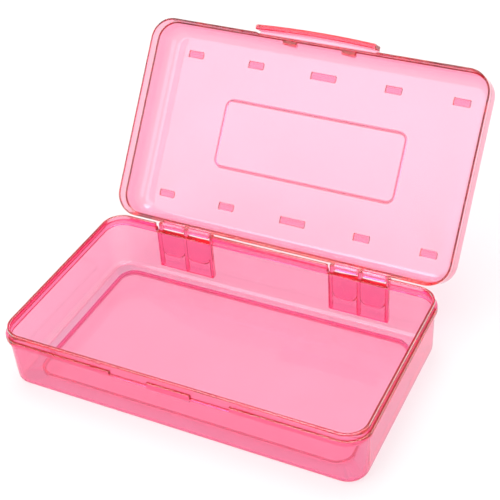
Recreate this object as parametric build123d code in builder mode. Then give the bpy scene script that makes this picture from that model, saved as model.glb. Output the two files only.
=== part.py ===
from build123d import *
import math
import os

os.makedirs("parts", exist_ok=True)

# A see-through pencil box in two mouldings: a tray and a lid that snaps on to the tray's hinge bars.
# Millimetres. X runs along the box, -Y is the front, +Y the hinge side, Z up from the base.

# Overall sizes
length = 200.0  # over the rims
width = 114.4  # over the tray's rim
tray_height = 30.6  # base to the ledge below the lid
lid_height = 23.5  # lid rim to its flat top
lid_overhang = 0.7  # how far the lid's front stands past the tray's
rim_corner = 12.8  # plan radius of the rims
wall = 1.5  # moulded wall thickness
tray_draft = 1.3  # degrees off vertical
lid_draft = 1.5  # degrees off vertical
base_round = 4.0  # radius round the foot of the tray
lid_round = 8.0  # radius round the top of the lid

# Rim: the tray's lip stands inside the lid's skirt, which rests on the tray's flange
flange_out = 1.3  # how far the flange stands out from the tray's wall
tray_flange = 3.3  # flange height
flange_edge = 0.4  # bevel on the flange's outer edges
lip_height = 3.5
lip_edge = 0.3  # bevel on the lip's top
skirt = 1.0  # thinner wall of the lid, below its inner step
skirt_height = 6.8
rim_gap = 0.15  # between the closed rims

# Stacking nubs on the lid, and the recess under the base that drops over those of a box below
nub_from_end = 19.0  # rim end to the centre of an outer nub
nub_from_side = 15.5  # rim side to the centre line of a row
nub_length = 9.5
nub_width = 4.0
centre_nub_length = 15.3
nub_height = 2.0
nub_corner = 0.6  # bevel on a nub's corners, in plan
nub_edge = 0.5  # bevel on a nub's top
nub_gap = 0.8  # play round the nested nubs, in plan
nub_clear = 0.3  # play above the nested nubs
recess_corner = 8.0

# Raised label frame on the lid
label_length = 111.1
label_width = 40.1
label_corner = 5.0
label_line = 1.1
label_rise = 0.7
label_edge = 0.5  # bevel on the line's top

# Thumb tab on the lid's front: a plate with a wall that hangs below the rim, over an opening in the skirt
tab_length = 70.5
tab_reach = 3.75  # past the lid's front, at the tab's ends
tab_bow = 1.05  # further reach at the middle
tab_wall = 2.7
tab_plate = 1.4
tab_top = 5.7  # above the lid rim
tab_drop = 3.3  # below the lid rim
tab_corner = 0.6

# Two tapered gussets inside the lid's front wall, behind the tab
gusset_x = 17.7
gusset_base = 8.5
gusset_tip = 1.6
gusset_top = 17.4  # above the lid rim
gusset_inset = 3.5  # lid's front to the gusset's face

# Front: finger recesses in the tray's flange below the tab, a deeper block between them, and a snap at each end
catch_x = 22.3
catch_length = 20.6
catch_drop = 2.0
block_length = 24.0
block_drop = 1.0  # below the flange
bead_from_tab = 6.0  # end of the tab to the middle of a bead
bead_length = 7.0
bead_out = 0.6
bead_height = 1.2
bead_rise = 0.75  # rim to the middle of the lid's bead
bead_gap = 0.2  # between the snapped beads

# Hinge: two brackets on the rear wall, each a thick panel with three ribs and a bar across two bays
hinge_from_end = 47.35  # rim end to a bracket's middle
hinge_length = 34.3
hinge_back = 1.4  # flange face to the hinge axis
hinge_lift = 0.3  # flange top to the hinge axis
hinge_notch = 2.3  # how far the wall's top is cut down at a bracket
rib = 2.0
bar_radius = 1.0
bar_gap = 0.06  # running clearance in the knuckle
knuckle_radius = 1.9
knuckle_mouth = 1.6  # snap opening, narrower than the bar
mouth_angle = -60.0  # the way the mouth faces on the closed lid
knuckle_gap = 0.4  # at each end of a knuckle
panel = 1.0  # bracket's panel, outside the wall
pad = 1.0  # thicker upper part of the panel
pad_bottom = 12.0  # above the base
pad_corner = 4.0
rib_proud = 0.4  # ribs past the pads
ear_back = 1.6  # ears past the hinge axis
ear_drop = 6.0  # hinge axis down to where an ear grows out of its rib
stop_gap = 0.15  # open lid to the brackets' slanted tops
open_angle = 126.7  # degrees from closed, where the lid rests on its stop

# Places worked out from the sizes above
tray_mouth = Plane(origin=(0, 0, tray_height), z_dir=(0, 0, -1))
rim_z = tray_height + rim_gap
lid_top = rim_z + lid_height
lid_front = width / 2 + lid_overhang
hinge_y = width / 2 + hinge_back
hinge_z = tray_height + hinge_lift
hinge_xs = [-(length / 2 - hinge_from_end), length / 2 - hinge_from_end]
bay = (hinge_length - 3 * rib) / 2
bay_offset = (bay + rib) / 2
notch_z = tray_height - hinge_notch
wall_middle = flange_out + wall / 2

outer_nub = length / 2 - nub_from_end
nub_space = (outer_nub - nub_length * 1.5 - centre_nub_length / 2) / 2
inner_nub = centre_nub_length / 2 + nub_space + nub_length / 2
nub_row = width / 2 - nub_from_side
recess_length = 2 * (outer_nub + nub_length / 2 + nub_gap)
recess_width = 2 * (nub_row + nub_width / 2 + nub_gap)
recess_depth = nub_height + nub_clear

# The open lid's rear face lies on this slant, and the brackets are cut back to just below it
slant_y = math.cos(math.radians(180 - open_angle))
slant_z = math.sin(math.radians(180 - open_angle))
ear_radius = hinge_back - stop_gap
panel_y = width / 2 - flange_out + panel
rib_y = panel_y + pad + rib_proud
bead_x = tab_length / 2 + bead_from_tab


def stop_height(back):
    """Height of the slanted stop, at a distance behind the hinge axis."""
    return hinge_z + (ear_radius - back * slant_y) / slant_z


def level_face(solid, height):
    """The flat, level face nearest a height."""
    return solid.faces().filter_by(Axis.Z).sort_by(lambda face: abs(face.center().Z - height))[0]


def rim_outline(inset):
    """Rounded rectangle inside the tray's rim."""
    return RectangleRounded(length - 2 * inset, width - 2 * inset, rim_corner - inset)


def rim_ring(outer_inset, inner_inset):
    """Ring between two insets from the tray's rim."""
    rim_outline(outer_inset)
    RectangleRounded(
        length - 2 * inner_inset, width - 2 * inner_inset, rim_corner - inner_inset, mode=Mode.SUBTRACT
    )


def lid_outline(inset):
    """Rounded rectangle inside the lid's rim, which overhangs the tray at the front."""
    with Locations((0, -lid_overhang / 2)):
        RectangleRounded(length - 2 * inset, width + lid_overhang - 2 * inset, rim_corner - inset)


def bead(face_y, middle_z):
    """Slender diamond, half sunk in the wall that carries it."""
    Polygon(
        (face_y - bead_out, middle_z),
        (face_y, middle_z - bead_height / 2),
        (face_y + bead_out, middle_z),
        (face_y, middle_z + bead_height / 2),
        align=None,
    )


def tab_outline():
    """Plan of the thumb tab, from its bowed front to the middle of the skirt."""
    half = tab_length / 2
    back = lid_front - skirt / 2
    reach = lid_front + tab_reach
    with BuildLine() as outline:
        Polyline((-half, -reach), (-half, -back), (half, -back), (half, -reach))
        ThreePointArc((half, -reach), (0, -reach - tab_bow), (-half, -reach))
    return outline.edges()


def rib_outline():
    """Side view of a bracket rib: foot, slanted stop and rounded ear."""
    with BuildLine() as outline:
        Polyline(
            (hinge_y - ear_radius, hinge_z),
            (hinge_y - ear_radius, notch_z),
            (width / 2 - wall_middle, notch_z),
            (width / 2 - wall_middle, base_round),
            (rib_y, base_round),
            (rib_y, hinge_z - ear_drop),
            (hinge_y + ear_back, hinge_z - ear_drop + hinge_y + ear_back - rib_y),
            (hinge_y + ear_back, stop_height(ear_back)),
            (hinge_y + ear_radius * slant_y, hinge_z + ear_radius * slant_z),
        )
        ThreePointArc(
            (hinge_y + ear_radius * slant_y, hinge_z + ear_radius * slant_z),
            (hinge_y, hinge_z + ear_radius),
            (hinge_y - ear_radius, hinge_z),
        )
    return outline.edges()


# Tray
with BuildPart() as tray:
    # Drafted body, rounded at the foot and hollowed from above
    with BuildSketch(tray_mouth):
        rim_outline(flange_out)
    extrude(amount=tray_height, taper=tray_draft)
    with BuildSketch(tray_mouth):
        rim_outline(flange_out + wall)
    extrude(amount=tray_height - wall, taper=tray_draft, mode=Mode.SUBTRACT)
    fillet(level_face(tray, wall).edges(), base_round - wall)
    fillet(level_face(tray, 0).edges(), base_round)

    # Floor panel raised over the stacking recess
    with BuildSketch(Plane.XY.offset(wall / 2)):
        RectangleRounded(recess_length + 2 * wall, recess_width + 2 * wall, recess_corner + wall)
    extrude(amount=wall / 2 + recess_depth)
    with BuildSketch(Plane.XY):
        RectangleRounded(recess_length, recess_width, recess_corner)
    extrude(amount=recess_depth, mode=Mode.SUBTRACT)

    # Rim flange, with the deeper block at the front
    with BuildSketch(Plane.XY.offset(tray_height - tray_flange)):
        rim_ring(0, flange_out + wall)
    extrude(amount=tray_flange)
    chamfer(level_face(tray, tray_height - tray_flange).outer_wire().edges(), flange_edge)
    chamfer(level_face(tray, tray_height).outer_wire().edges(), flange_edge)
    with Locations((0, -width / 2, tray_height - tray_flange + flange_edge)):
        Box(
            block_length,
            wall_middle,
            block_drop + flange_edge,
            align=(Align.CENTER, Align.MIN, Align.MAX),
        )

    # Lip inside the lid's skirt
    with BuildSketch(Plane.XY.offset(tray_height)):
        rim_ring(flange_out, flange_out + wall)
    extrude(amount=lip_height)
    chamfer(level_face(tray, tray_height + lip_height).edges(), lip_edge)

    # Catches
    for side in (-1, 1):
        with Locations((side * catch_x, -width / 2, tray_height)):
            Box(catch_length, 2 * flange_out, 2 * catch_drop, mode=Mode.SUBTRACT)
        with BuildSketch(Plane.YZ.offset(side * bead_x - bead_length / 2)):
            bead(-(width / 2 - flange_out), rim_z + bead_rise + bead_height + bead_gap)
        extrude(amount=bead_length)

    # Hinge brackets
    for hinge_x in hinge_xs:
        with Locations((hinge_x, width / 2, notch_z)):
            Box(
                hinge_length,
                4 * wall_middle,
                hinge_notch + 2 * lip_height,
                align=(Align.CENTER, Align.CENTER, Align.MIN),
                mode=Mode.SUBTRACT,
            )
        for rib_x in (hinge_x - bay - rib, hinge_x, hinge_x + bay + rib):
            with BuildSketch(Plane.YZ.offset(rib_x - rib / 2)):
                make_face(rib_outline())
            extrude(amount=rib)
        with Locations((hinge_x, panel_y, base_round)):
            Box(
                hinge_length,
                panel + wall / 2,
                notch_z - base_round,
                align=(Align.CENTER, Align.MAX, Align.MIN),
            )
        with BuildSketch(Plane.YZ.offset(hinge_x - (hinge_length - rib) / 2)):
            with Locations((hinge_y, hinge_z)):
                Circle(bar_radius)
        extrude(amount=hinge_length - rib)
        for bay_x in (hinge_x - bay_offset, hinge_x + bay_offset):
            with BuildSketch(Plane.XZ.offset(-panel_y)) as pad_face:
                with Locations((bay_x, pad_bottom)):
                    Rectangle(bay, notch_z - pad_bottom, align=(Align.CENTER, Align.MIN))
                fillet(pad_face.vertices().group_by(Axis.Y)[0], pad_corner)
            extrude(amount=-pad)

tray.part.label = "tray"
export_step(tray.part, "parts/tray.step")

# Lid, modelled closed on the tray
with BuildPart() as lid:
    # Drafted body, rounded at the top and hollowed from below
    with BuildSketch(Plane.XY.offset(rim_z)):
        lid_outline(0)
    extrude(amount=lid_height, taper=lid_draft)
    with BuildSketch(Plane.XY.offset(rim_z)):
        lid_outline(wall)
    extrude(amount=lid_height - wall, taper=lid_draft, mode=Mode.SUBTRACT)
    fillet(level_face(lid, lid_top - wall).edges(), lid_round - wall)
    fillet(level_face(lid, lid_top).edges(), lid_round)

    # Step inside the rim, which leaves a skirt outside the tray's lip
    with BuildSketch(Plane.XY.offset(rim_z)):
        lid_outline(skirt)
    extrude(amount=skirt_height, mode=Mode.SUBTRACT)

    # Label frame and stacking nubs
    with BuildSketch(Plane.XY.offset(lid_top)):
        RectangleRounded(label_length, label_width, label_corner)
        RectangleRounded(
            label_length - 2 * label_line,
            label_width - 2 * label_line,
            label_corner - label_line,
            mode=Mode.SUBTRACT,
        )
    extrude(amount=label_rise)
    chamfer(level_face(lid, lid_top + label_rise).edges(), label_edge)
    with BuildSketch(Plane.XY.offset(lid_top)) as nub_plan:
        with GridLocations(outer_nub * 2, nub_row * 2, 2, 2):
            Rectangle(nub_length, nub_width)
        with GridLocations(inner_nub * 2, nub_row * 2, 2, 2):
            Rectangle(nub_length, nub_width)
        with GridLocations(0, nub_row * 2, 1, 2):
            Rectangle(centre_nub_length, nub_width)
        chamfer(nub_plan.vertices(), nub_corner)
    extrude(amount=nub_height)
    chamfer(lid.faces().filter_by(Axis.Z).group_by(Axis.Z)[-1].edges(), nub_edge)

    # Thumb tab, hollowed from below through the skirt, with the gussets behind it and a snap bead at each end
    with BuildSketch(Plane.XY.offset(rim_z - tab_drop)) as tab_plan:
        make_face(tab_outline())
        fillet(tab_plan.vertices().group_by(Axis.Y)[0], tab_corner)
    extrude(amount=tab_drop + tab_top)
    with BuildSketch(Plane((0, tab_wall, rim_z - tab_drop))):
        make_face(tab_outline())
    extrude(amount=tab_drop + tab_top - tab_plate, mode=Mode.SUBTRACT)
    with BuildSketch(Plane.XZ.offset(lid_front - gusset_inset)):
        with Locations((-gusset_x, rim_z), (gusset_x, rim_z)):
            Polygon(
                (-gusset_base / 2, skirt_height),
                (gusset_base / 2, skirt_height),
                (gusset_tip / 2, gusset_top),
                (-gusset_tip / 2, gusset_top),
                align=None,
            )
    extrude(amount=gusset_inset - wall / 2)
    for side in (-1, 1):
        with BuildSketch(Plane.YZ.offset(side * bead_x - bead_length / 2)):
            bead(-(lid_front - skirt), rim_z + bead_rise)
        extrude(amount=bead_length)

    # Open knuckles that snap on to the tray's bars
    for hinge_x in hinge_xs:
        for bay_x in (hinge_x - bay_offset, hinge_x + bay_offset):
            with BuildSketch(Plane.YZ.offset(bay_x - bay / 2 + knuckle_gap)):
                with Locations((hinge_y, hinge_z)):
                    Circle(knuckle_radius)
                    Rectangle(
                        hinge_back + skirt / 2,
                        knuckle_radius,
                        align=(Align.MAX, Align.MIN),
                    )
                    Circle(bar_radius + bar_gap, mode=Mode.SUBTRACT)
                    Rectangle(
                        2 * knuckle_radius,
                        knuckle_mouth,
                        rotation=mouth_angle,
                        align=(Align.MIN, Align.CENTER),
                        mode=Mode.SUBTRACT,
                    )
            extrude(amount=bay - 2 * knuckle_gap)

# The lid is stored thrown back on its stop
hinge_line = Axis((0, hinge_y, hinge_z), (1, 0, 0))
open_lid = lid.part.rotate(hinge_line, -open_angle)
open_lid.label = "lid"
export_step(open_lid, "parts/lid.step")
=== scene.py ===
import math

import bpy
from mathutils import Matrix, Vector


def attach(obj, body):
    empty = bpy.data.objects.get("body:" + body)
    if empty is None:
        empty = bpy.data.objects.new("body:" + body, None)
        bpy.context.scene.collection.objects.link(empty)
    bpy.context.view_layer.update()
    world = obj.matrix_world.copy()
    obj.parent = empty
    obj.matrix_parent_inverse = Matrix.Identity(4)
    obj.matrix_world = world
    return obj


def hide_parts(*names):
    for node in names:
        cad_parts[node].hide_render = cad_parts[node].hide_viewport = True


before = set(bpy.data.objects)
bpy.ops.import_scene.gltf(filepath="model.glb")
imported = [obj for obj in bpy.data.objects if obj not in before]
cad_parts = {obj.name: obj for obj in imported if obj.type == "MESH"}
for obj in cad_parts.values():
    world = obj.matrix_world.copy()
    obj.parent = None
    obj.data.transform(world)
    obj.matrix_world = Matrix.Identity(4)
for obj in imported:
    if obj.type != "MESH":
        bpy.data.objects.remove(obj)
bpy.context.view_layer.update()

# Mouldings: lengths in metres, angles in radians
WELD_DISTANCE = 0.000002  # joins the loose triangles of a moulding
CREASE_ANGLE = math.radians(28)  # sharper edges of a moulding stay crisp
EDGE_BREAK = 0.00035  # small flat that takes the sharpness off a moulded edge
EDGE_FLATS = 1  # flats across a broken edge
OUTWARD_ANGLE = math.radians(40)  # outward edges sharper than this are broken
INWARD_ANGLES = {"tray": -math.pi, "lid": -math.radians(40)}  # inward corners below these are filled

# Pink plastic
DYE_COLOUR = (0.975, 0.05, 0.50, 1.0)  # what a thick piece of the plastic lets through
DYE_STRENGTH = 480.0  # per metre
PLASTIC_CLEARNESS = 0.99
PLASTIC_IOR = 1.49
SHADOW_TONE = (0.8, 0.8, 0.8, 1.0)  # light that each surface passes on to what lies behind it
STREAK_SCALE = 35.0
STREAK_DETAIL = 3.0
STREAK_TINTS = ((0.3, (1.0, 0.95, 0.89, 1.0)), (0.7, (1.0, 0.98, 0.92, 1.0)))  # level and tint at each end
RUB_SCALE = 120.0
RUB_DETAIL = 4.0
GLOSSY = 0.02  # roughness where the skin is untouched
RUBBED = 0.09  # roughness where it is rubbed
WAVE_SCALE = 60.0
WAVE_DETAIL = 1.0
WAVE_STRENGTH = 0.08
WAVE_HEIGHT = 0.0004

# Photograph's view
CAMERA_PLACE = (0.23514, -0.39206, 0.42019)
CAMERA_RIGHT = (0.90679, 0.41873, -0.04906)
CAMERA_UP = (-0.20969, 0.54889, 0.80918)
CAMERA_BACK = (0.36575, -0.72346, 0.58553)
CAMERA_LENS = 84.19
CAMERA_SENSOR = 36.0
CAMERA_SHIFT = (-0.0606, -0.0654)
CAMERA_NEAR = 0.01
CAMERA_FAR = 50.0

# Soft lights of the studio: name, direction, angles in degrees where it is full and gone, and strength
STUDIO_LIGHTS = (
    ("front", (-0.29, -0.59, 0.75), 8.0, 42.0, 2.8),
    ("right", (0.75, -0.50, 0.43), 6.0, 26.0, 1.8),
    ("over", (-0.08, 0.20, 0.97), 4.0, 30.0, 7.0),
)
ROOM_COLOUR = (1.0, 1.0, 1.0, 1.0)
ROOM_LEVEL = 0.9  # brightness of the white room around the lights
LIGHT_BOUNCES = 40  # light runs far along the plastic's edges

FLOOR_SIZE = 60.0
FLOOR_TONE = (0.2, 0.2, 0.2, 1.0)
FLOOR_ROUGHNESS = 0.9
FLOOR_LIGHT = (1.0, 1.0, 1.0, 1.0)
FLOOR_GLOW = 0.6  # lit from below as well, so the floor stays white beside the pink plastic


def new_node(tree, kind, place, inputs=None, **settings):
    """A node of a kind at a place in its tree, with the named inputs and the plain settings set."""
    node = tree.nodes.new(kind)
    node.location = place
    for name, value in settings.items():
        setattr(node, name, value)
    for name, value in (inputs or {}).items():
        node.inputs[name].default_value = value
    return node


def mould_noise(tree, where, place, scale, detail):
    """Noise that lies still on the moulding."""
    noise = new_node(tree, "ShaderNodeTexNoise", place, {"Scale": scale, "Detail": detail})
    tree.links.new(where.outputs["Object"], noise.inputs["Vector"])
    return noise.outputs["Fac"]


def pink_plastic():
    """Clear moulded plastic with pink dye all through it, faintly wavy from the mould."""
    material = bpy.data.materials.new("pink_plastic")
    material.use_nodes = True
    tree = material.node_tree
    links = tree.links
    tree.nodes.clear()
    where = new_node(tree, "ShaderNodeTexCoord", (-1100, 0))

    # Faint streaks where the dye is a little stronger
    streaks = mould_noise(tree, where, (-850, 250), STREAK_SCALE, STREAK_DETAIL)
    tint = new_node(tree, "ShaderNodeValToRGB", (-600, 250))
    for stop, (level, colour) in zip(tint.color_ramp.elements, STREAK_TINTS):
        stop.position = level
        stop.color = colour
    links.new(streaks, tint.inputs["Fac"])

    # Rubbed patches are a little less glossy
    rubs = mould_noise(tree, where, (-850, -50), RUB_SCALE, RUB_DETAIL)
    gloss = new_node(tree, "ShaderNodeMapRange", (-600, -50), {"To Min": GLOSSY, "To Max": RUBBED})
    links.new(rubs, gloss.inputs["Value"])

    # Slow waves left by the mould
    waves = mould_noise(tree, where, (-850, -350), WAVE_SCALE, WAVE_DETAIL)
    bump_inputs = {"Strength": WAVE_STRENGTH, "Distance": WAVE_HEIGHT}
    bump = new_node(tree, "ShaderNodeBump", (-600, -350), bump_inputs)
    links.new(waves, bump.inputs["Height"])

    plastic_inputs = {"Transmission Weight": PLASTIC_CLEARNESS, "IOR": PLASTIC_IOR}
    plastic = new_node(tree, "ShaderNodeBsdfPrincipled", (-250, 150), plastic_inputs)
    links.new(tint.outputs["Color"], plastic.inputs["Base Color"])
    links.new(gloss.outputs["Result"], plastic.inputs["Roughness"])
    links.new(bump.outputs["Normal"], plastic.inputs["Normal"])

    # Light passes through to the floor, dyed on its way
    light_path = new_node(tree, "ShaderNodeLightPath", (-250, 520))
    clear = new_node(tree, "ShaderNodeBsdfTransparent", (-250, -450), {"Color": SHADOW_TONE})
    shadow_mix = new_node(tree, "ShaderNodeMixShader", (100, 150))
    links.new(light_path.outputs["Is Shadow Ray"], shadow_mix.inputs["Fac"])
    links.new(plastic.outputs["BSDF"], shadow_mix.inputs[1])
    links.new(clear.outputs["BSDF"], shadow_mix.inputs[2])

    dye_inputs = {"Color": DYE_COLOUR, "Density": DYE_STRENGTH}
    dye = new_node(tree, "ShaderNodeVolumeAbsorption", (100, -150), dye_inputs)
    output = new_node(tree, "ShaderNodeOutputMaterial", (350, 100))
    links.new(shadow_mix.outputs["Shader"], output.inputs["Surface"])
    links.new(dye.outputs["Volume"], output.inputs["Volume"])
    return material


def tree_with_inputs(name, inputs):
    """Geometry Nodes tree that takes and gives a geometry, with these named inputs beside it."""
    tree = bpy.data.node_groups.new(name, "GeometryNodeTree")
    tree.interface.new_socket("Geometry", in_out="INPUT", socket_type="NodeSocketGeometry")
    for input_name, kind in inputs.items():
        tree.interface.new_socket(input_name, in_out="INPUT", socket_type=kind)
    tree.interface.new_socket("Geometry", in_out="OUTPUT", socket_type="NodeSocketGeometry")
    return tree


def compare_node(tree, place, operation, value, limit):
    """Node that compares a value with a limit."""
    compare = new_node(tree, "FunctionNodeCompare", place, operation=operation)
    tree.links.new(value, compare.inputs["A"])
    tree.links.new(limit, compare.inputs["B"])
    return compare.outputs["Result"]


def sharp_edges_tree():
    """Geometry Nodes: joins a moulding's faces and marks the edges that are to be broken or filled."""
    inputs = {
        "Weld Distance": "NodeSocketFloat",
        "Outward Angle": "NodeSocketFloat",
        "Inward Angle": "NodeSocketFloat",
    }
    tree = tree_with_inputs("sharp_edges", inputs)
    links = tree.links
    start = new_node(tree, "NodeGroupInput", (-900, 0))
    weld = new_node(tree, "GeometryNodeMergeByDistance", (-650, 100))
    links.new(start.outputs["Geometry"], weld.inputs["Geometry"])
    links.new(start.outputs["Weld Distance"], weld.inputs["Distance"])

    # Inward corners have a negative angle
    angle = new_node(tree, "GeometryNodeInputMeshEdgeAngle", (-900, -250)).outputs["Signed Angle"]
    outward = compare_node(tree, (-650, -150), "GREATER_THAN", angle, start.outputs["Outward Angle"])
    inward = compare_node(tree, (-650, -350), "LESS_THAN", angle, start.outputs["Inward Angle"])
    either = new_node(tree, "FunctionNodeBooleanMath", (-400, -250), operation="OR")
    links.new(outward, either.inputs[0])
    links.new(inward, either.inputs[1])
    mark_inputs = {"Name": "bevel_weight_edge"}
    mark = new_node(tree, "GeometryNodeStoreNamedAttribute", (-150, 100), mark_inputs, domain="EDGE")
    links.new(weld.outputs["Geometry"], mark.inputs["Geometry"])
    links.new(either.outputs["Boolean"], mark.inputs["Value"])
    end = new_node(tree, "NodeGroupOutput", (100, 100))
    links.new(mark.outputs["Geometry"], end.inputs["Geometry"])
    return tree


def moulding_skin_tree():
    """Geometry Nodes: shades a moulding's faces smooth up to its crisp edges and dresses it."""
    inputs = {"Crease Angle": "NodeSocketFloat", "Plastic": "NodeSocketMaterial"}
    tree = tree_with_inputs("moulding_skin", inputs)
    links = tree.links
    start = new_node(tree, "NodeGroupInput", (-650, 0))
    soft_faces = new_node(tree, "GeometryNodeSetShadeSmooth", (-400, 100), domain="FACE")
    angle = new_node(tree, "GeometryNodeInputMeshEdgeAngle", (-650, -150)).outputs["Unsigned Angle"]
    shallow = compare_node(tree, (-400, -150), "LESS_THAN", angle, start.outputs["Crease Angle"])
    crisp_edges = new_node(tree, "GeometryNodeSetShadeSmooth", (-150, 100), domain="EDGE")
    links.new(shallow, crisp_edges.inputs["Shade Smooth"])
    whole = new_node(tree, "GeometryNodeRealizeInstances", (100, 100))
    dressed = new_node(tree, "GeometryNodeSetMaterial", (350, 100))
    links.new(start.outputs["Plastic"], dressed.inputs["Material"])
    end = new_node(tree, "NodeGroupOutput", (600, 100))

    steps = (start, soft_faces, crisp_edges, whole, dressed, end)
    for step, following in zip(steps, steps[1:]):
        links.new(step.outputs["Geometry"], following.inputs["Geometry"])
    return tree


def socket_id(tree, name):
    """Identifier of a tree's named input."""
    for item in tree.interface.items_tree:
        if item.in_out == "INPUT" and item.name == name:
            return item.identifier
    raise KeyError(name)


def add_tree(carrier, tree, inputs):
    """Puts a tree on an object as its next modifier, with the named inputs set."""
    grower = carrier.modifiers.new(tree.name, "NODES")
    grower.node_group = tree
    for input_name, value in inputs.items():
        grower[socket_id(tree, input_name)] = value


def add_edge_break(carrier):
    """Takes the sharpness off the marked edges of an object."""
    breaker = carrier.modifiers.new("edge_break", "BEVEL")
    breaker.limit_method = "WEIGHT"
    breaker.width = EDGE_BREAK
    breaker.segments = EDGE_FLATS
    breaker.use_clamp_overlap = False


def moulding(node, name, edges, skin, plastic):
    """One moulding of the box, with broken edges and a smooth skin, in the place of its CAD node."""
    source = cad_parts[node].data.copy()
    source.materials.clear()
    carrier = bpy.data.objects.new(name + "_carrier", source)
    bpy.context.scene.collection.objects.link(carrier)
    edge_inputs = {
        "Weld Distance": WELD_DISTANCE,
        "Outward Angle": OUTWARD_ANGLE,
        "Inward Angle": INWARD_ANGLES[node],
    }
    add_tree(carrier, edges, edge_inputs)
    add_edge_break(carrier)
    add_tree(carrier, skin, {"Crease Angle": CREASE_ANGLE, "Plastic": plastic})
    bpy.context.view_layer.update()
    evaluated = carrier.evaluated_get(bpy.context.evaluated_depsgraph_get())
    mesh = bpy.data.meshes.new_from_object(evaluated)
    mesh.name = name
    carrier.modifiers.clear()
    bpy.data.objects.remove(carrier)

    piece = bpy.data.objects.new(name, mesh)
    bpy.context.scene.collection.objects.link(piece)
    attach(piece, node)
    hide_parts(node)


def paper_floor():
    """Plain pale floor."""
    half = FLOOR_SIZE / 2
    corners = [(-half, -half, 0), (half, -half, 0), (half, half, 0), (-half, half, 0)]
    mesh = bpy.data.meshes.new("floor")
    mesh.from_pydata(corners, [], [(0, 1, 2, 3)])
    material = bpy.data.materials.new("floor_paper")
    material.use_nodes = True
    paper = material.node_tree.nodes["Principled BSDF"].inputs
    paper["Base Color"].default_value = FLOOR_TONE
    paper["Roughness"].default_value = FLOOR_ROUGHNESS
    paper["Specular IOR Level"].default_value = 0.0
    paper["Emission Color"].default_value = FLOOR_LIGHT
    paper["Emission Strength"].default_value = FLOOR_GLOW
    mesh.materials.append(material)
    floor = bpy.data.objects.new("floor", mesh)
    bpy.context.scene.collection.objects.link(floor)


def glow(tree, name, direction, core, edge, strength):
    """Round soft light in the surroundings: full out to one angle from its direction, gone at another."""
    way = new_node(tree, "ShaderNodeTexCoord", (-900, 0))
    facing = new_node(tree, "ShaderNodeVectorMath", (-700, 0), operation="DOT_PRODUCT", label=name)
    facing.inputs[1].default_value = Vector(direction).normalized()
    tree.links.new(way.outputs["Generated"], facing.inputs[0])
    falloff_inputs = {
        "From Min": math.cos(math.radians(edge)),
        "From Max": math.cos(math.radians(core)),
        "To Min": 0.0,
        "To Max": strength,
    }
    falloff = new_node(
        tree, "ShaderNodeMapRange", (-500, 0), falloff_inputs, interpolation_type="SMOOTHSTEP"
    )
    tree.links.new(facing.outputs["Value"], falloff.inputs["Value"])
    return falloff.outputs["Result"]


def studio():
    """White room with broad soft lights."""
    scene = bpy.context.scene
    scene.view_settings.view_transform = "Standard"
    scene.cycles.max_bounces = LIGHT_BOUNCES
    scene.cycles.transmission_bounces = LIGHT_BOUNCES
    scene.cycles.glossy_bounces = LIGHT_BOUNCES
    scene.cycles.transparent_max_bounces = LIGHT_BOUNCES
    world = bpy.data.worlds.new("studio")
    world.use_nodes = True
    tree = world.node_tree
    background = tree.nodes["Background"]
    background.inputs["Color"].default_value = ROOM_COLOUR
    level = new_node(tree, "ShaderNodeValue", (-500, 200), label="room")
    level.outputs["Value"].default_value = ROOM_LEVEL
    total = level.outputs["Value"]
    for light in STUDIO_LIGHTS:
        joined = new_node(tree, "ShaderNodeMath", (-300, 0), operation="ADD")
        tree.links.new(total, joined.inputs[0])
        tree.links.new(glow(tree, *light), joined.inputs[1])
        total = joined.outputs["Value"]
    tree.links.new(total, background.inputs["Strength"])
    scene.world = world


def photo_camera():
    """Camera that stands where the photograph was taken."""
    camera = bpy.data.cameras.new("photo_camera")
    camera.sensor_fit = "HORIZONTAL"
    camera.sensor_width = CAMERA_SENSOR
    camera.lens = CAMERA_LENS
    camera.shift_x, camera.shift_y = CAMERA_SHIFT
    camera.clip_start = CAMERA_NEAR
    camera.clip_end = CAMERA_FAR
    turn = Matrix((CAMERA_RIGHT, CAMERA_UP, CAMERA_BACK)).transposed()
    holder = bpy.data.objects.new("photo_camera", camera)
    holder.matrix_world = Matrix.Translation(CAMERA_PLACE) @ turn.to_4x4()
    bpy.context.scene.collection.objects.link(holder)
    bpy.context.scene.camera = holder


plastic = pink_plastic()
edges = sharp_edges_tree()
skin = moulding_skin_tree()
moulding("tray", "tray_moulding", edges, skin, plastic)
moulding("lid", "lid_moulding", edges, skin, plastic)
paper_floor()
studio()
photo_camera()
